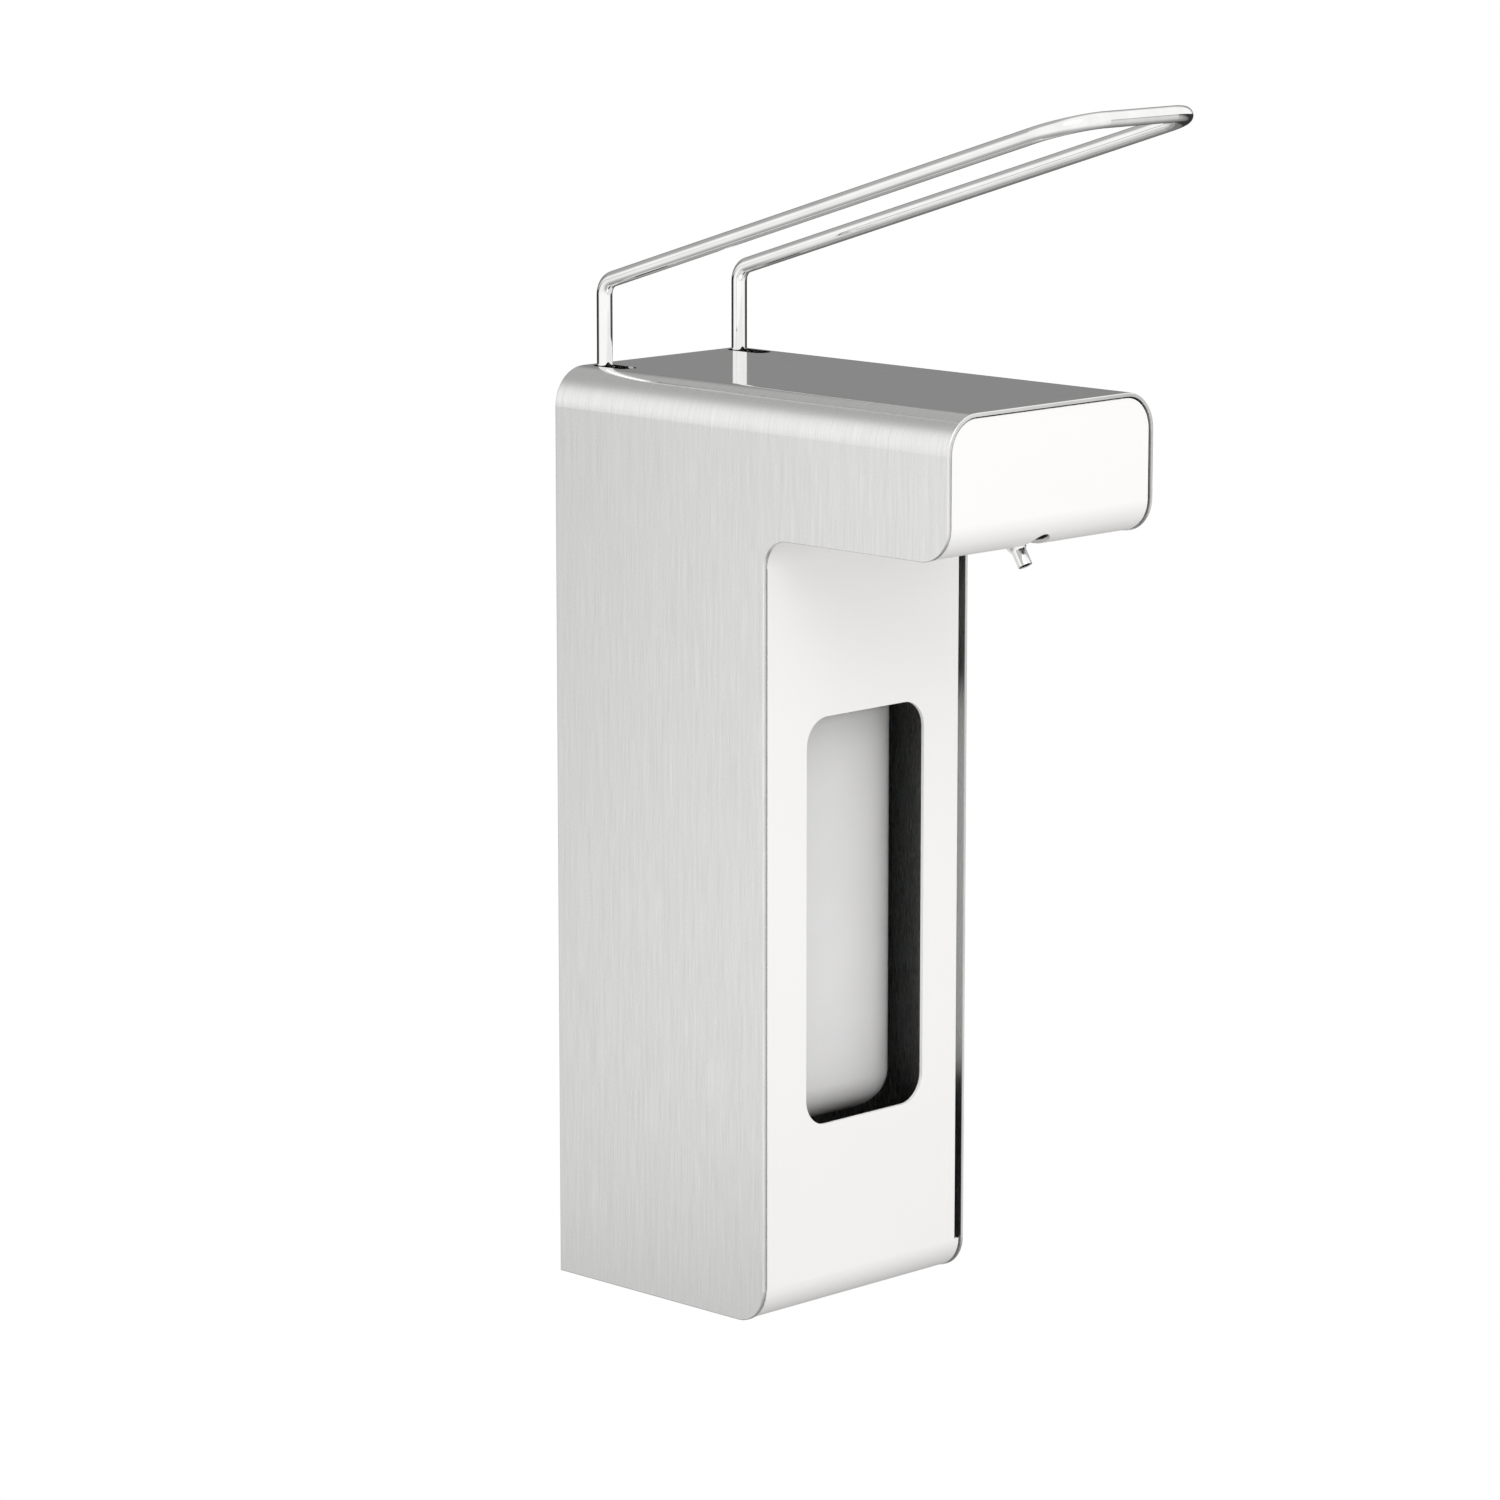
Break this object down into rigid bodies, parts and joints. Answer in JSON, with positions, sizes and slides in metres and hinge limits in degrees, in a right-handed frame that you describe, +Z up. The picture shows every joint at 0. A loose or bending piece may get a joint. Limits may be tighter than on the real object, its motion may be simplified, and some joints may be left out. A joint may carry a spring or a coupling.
{
  "type": "wall soap dispenser",
  "caption": "Narrow wall dispenser with a bent sheet cover, a window in the front, a spout under a deep head and a wire arm lever that works a pump.",
  "frame": {"origin": "middle of the four wall screw holes, in the back face of the back plate", "axes": "+X to the right seen from the front, +Y into the wall, +Z up"},
  "size_m": [0.092, 0.2035, 0.3826],
  "materials": {
    "brushed_stainless_cover": "fine brushed grain, vertical on the sides and along the depth on top",
    "white_coated_steel": "satin powder coat",
    "satin_plate_steel": "mill finish sheet",
    "grey_moulded_plastic": "fine moulded texture",
    "zinc_screws": "zinc plated",
    "natural_polyethylene": "natural, slightly milky",
    "white_moulded_plastic": "smooth moulded",
    "black_rubber": "moulded elastomer",
    "spring_steel": "drawn and ground steel",
    "polished_stainless": "polished",
    "black_acetal": "machined acetal"
  },
  "bodies": {
    "housing": {"cover": "brushed_stainless_cover", "front_insert": "white_coated_steel", "back_plate": "satin_plate_steel", "drip_tray": "grey_moulded_plastic", "tray_screws": "zinc_screws", "insert_screws": "zinc_screws", "cover_clips": "grey_moulded_plastic", "insert_clips": "grey_moulded_plastic", "bottle": "natural_polyethylene", "closure_ring": "white_moulded_plastic", "neck_gasket": "black_rubber", "pump_body": "white_moulded_plastic", "pump_lid": "white_moulded_plastic", "rod_seal": "black_rubber", "return_spring": "spring_steel", "inlet_ball": "spring_steel", "dip_tube": "natural_polyethylene", "outlet_tube": "natural_polyethylene", "outlet_seal": "black_rubber", "outlet_nozzle": "polished_stainless", "pivot_bushes": "natural_polyethylene", "pivot_bracket": "satin_plate_steel", "bracket_screws": "zinc_screws", "pump_shelf": "satin_plate_steel", "shelf_screws": "zinc_screws"},
    "lever": {"lever_wire": "polished_stainless", "rocker": "black_acetal", "set_screws": "zinc_screws"},
    "plunger": {"piston_rod": "white_moulded_plastic", "piston": "natural_polyethylene", "plunger_cap": "white_moulded_plastic", "outlet_ball": "spring_steel"}
  },
  "joints": [
    {"name": "lever_hinge", "type": "hinge", "parent": "housing", "child": "lever", "pos_m": [0, -0.006, 0.118], "axis": [1, 0, 0], "range_deg": [0, 20], "stiffness_Nm_per_rad": 1, "springref_deg": -20.05},
    {"name": "plunger_slide", "type": "slide", "parent": "housing", "child": "plunger", "axis": [0, 0, -1], "range_m": [0, 0.01245], "deforming": ["return_spring"]}
  ],
  "couplings": [
    {"joint": "plunger_slide", "follows": "lever_hinge", "m_per_rad": 0.03566}
  ]
}
